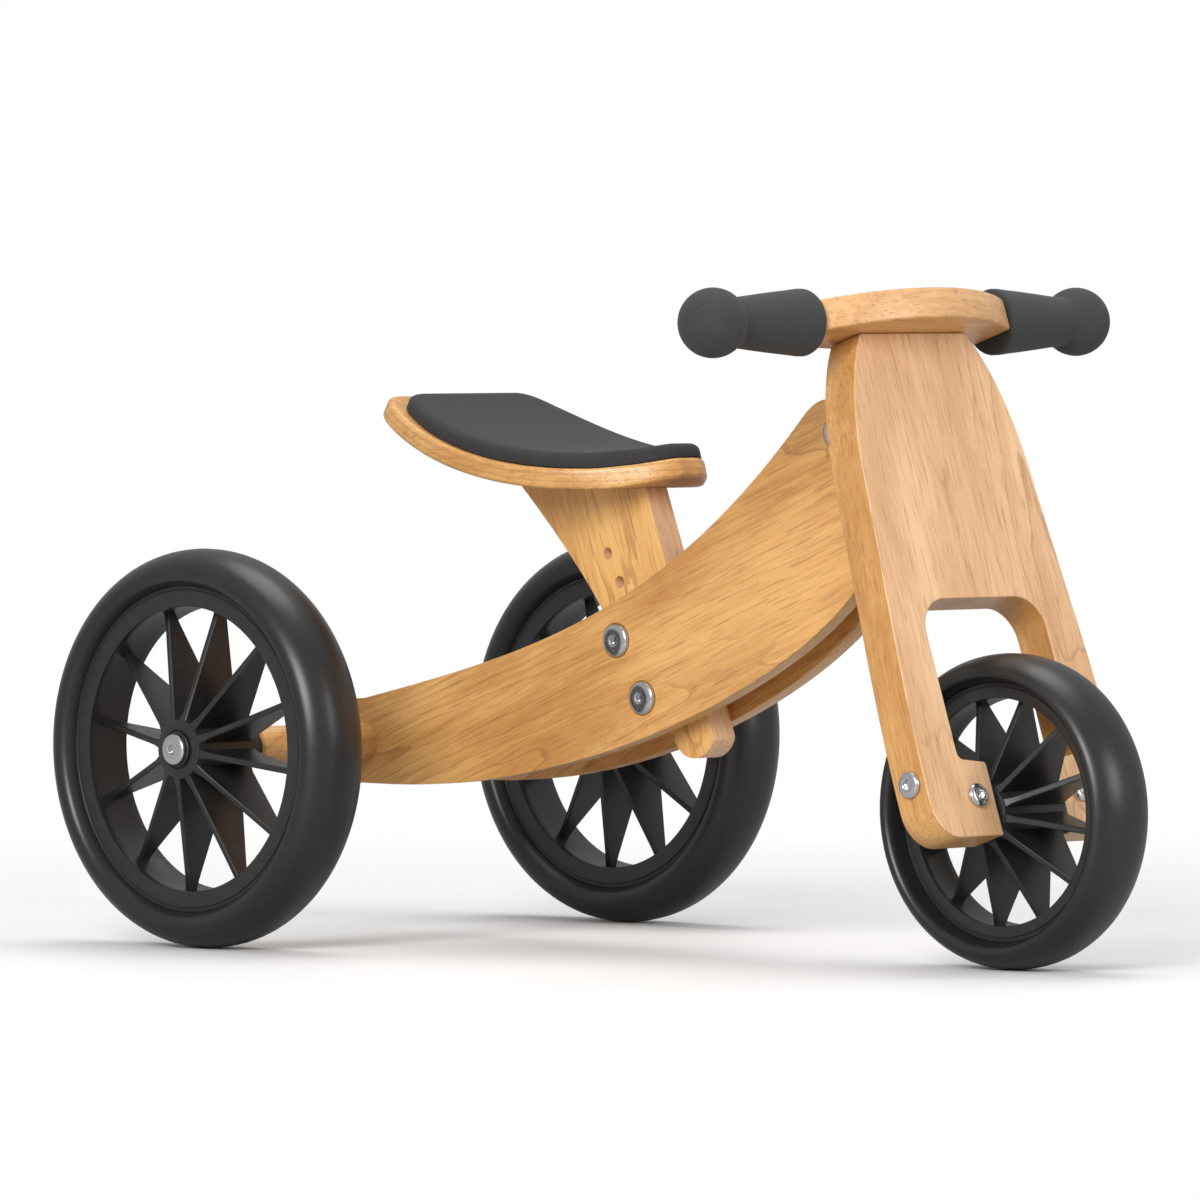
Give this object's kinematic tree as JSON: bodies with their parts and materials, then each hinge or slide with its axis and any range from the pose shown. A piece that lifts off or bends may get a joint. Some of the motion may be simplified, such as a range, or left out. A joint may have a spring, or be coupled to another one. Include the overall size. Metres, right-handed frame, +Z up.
{
  "type": "balance trike",
  "caption": "Toddler's wooden balance trike: splayed plywood beams, bent seat on an adjustable post, forked steering panel with a bow handlebar, spoked wheels with soft tyres.",
  "frame": {"origin": "on the floor, under the middle of the bounding box", "axes": "+X forward along the direction of travel, +Y to the rider's left, +Z up; mirrored about the XZ plane except the bolts, which come in from the right"},
  "size_m": [0.5946, 0.3594, 0.3381],
  "materials": {
    "beam_wood": "clear satin varnish on golden plywood",
    "panel_wood": "clear satin varnish on golden plywood",
    "tyre": "satin black foam rubber",
    "wheel_plastic": "moulded, satin",
    "bearing_plastic": "moulded nylon",
    "grip_rubber": "matte foam rubber",
    "seat_foam": "matte closed-cell foam",
    "steel": "plated steel"
  },
  "bodies": {
    "frame": {"beam_right": "beam_wood", "beam_left": "beam_wood", "rear_axle_bar": "beam_wood", "rear_axle_rod": "steel", "rear_axle_spacer_left": "bearing_plastic", "rear_axle_cap_left": "steel", "rear_axle_spacer_right": "bearing_plastic", "rear_axle_cap_right": "steel", "head_block": "beam_wood", "head_bush_lower": "bearing_plastic", "head_bush_upper": "bearing_plastic", "post_upper_bolt": "steel", "post_upper_nut": "steel", "post_lower_bolt": "steel", "post_lower_nut": "steel", "head_lower_bolt": "steel", "head_lower_nut": "steel", "head_upper_bolt": "steel", "head_upper_nut": "steel", "seat_post": "beam_wood", "packing_plate_right": "beam_wood", "packing_plate_left": "beam_wood", "seat_board": "beam_wood", "seat_screw_1": "steel", "seat_screw_2": "steel", "seat_pad": "seat_foam"},
    "steering": {"steering_panel": "panel_wood", "handlebar": "panel_wood", "handlebar_screw_left": "steel", "handlebar_screw_right": "steel", "grip_left": "grip_rubber", "grip_right": "grip_rubber", "steering_bracket_upper": "steel", "steering_bracket_lower": "steel", "bracket_screw_1": "steel", "bracket_screw_2": "steel", "bracket_screw_3": "steel", "bracket_screw_4": "steel", "steering_pin": "steel", "front_axle": "steel", "axle_lock_screw_left": "steel", "axle_lock_screw_right": "steel", "leg_bolt_left": "steel", "leg_bolt_right": "steel"},
    "front_wheel": {"front_tyre": "tyre", "front_wheel_core": "wheel_plastic", "front_bush_left": "bearing_plastic", "front_bush_right": "bearing_plastic"},
    "rear_wheel_left": {"rear_left_tyre": "tyre", "rear_left_wheel_core": "wheel_plastic", "rear_left_bush_left": "bearing_plastic", "rear_left_bush_right": "bearing_plastic"},
    "rear_wheel_right": {"rear_right_tyre": "tyre", "rear_right_wheel_core": "wheel_plastic", "rear_right_bush_left": "bearing_plastic", "rear_right_bush_right": "bearing_plastic"}
  },
  "joints": [
    {"name": "steer", "type": "hinge", "parent": "frame", "child": "steering", "pos_m": [0.14144, 0, 0.2464], "axis": [-0.3219, 0, 0.9468], "range_deg": [-35, 35]},
    {"name": "front_wheel_spin", "type": "hinge", "parent": "steering", "child": "front_wheel", "pos_m": [0.21895, 0, 0.0784], "axis": [0, 1, 0], "continuous": true},
    {"name": "rear_wheel_left_spin", "type": "hinge", "parent": "frame", "child": "rear_wheel_left", "pos_m": [-0.19505, 0.155, 0.10215], "axis": [0, 1, 0], "continuous": true},
    {"name": "rear_wheel_right_spin", "type": "hinge", "parent": "frame", "child": "rear_wheel_right", "pos_m": [-0.19505, -0.155, 0.10215], "axis": [0, 1, 0], "continuous": true}
  ]
}
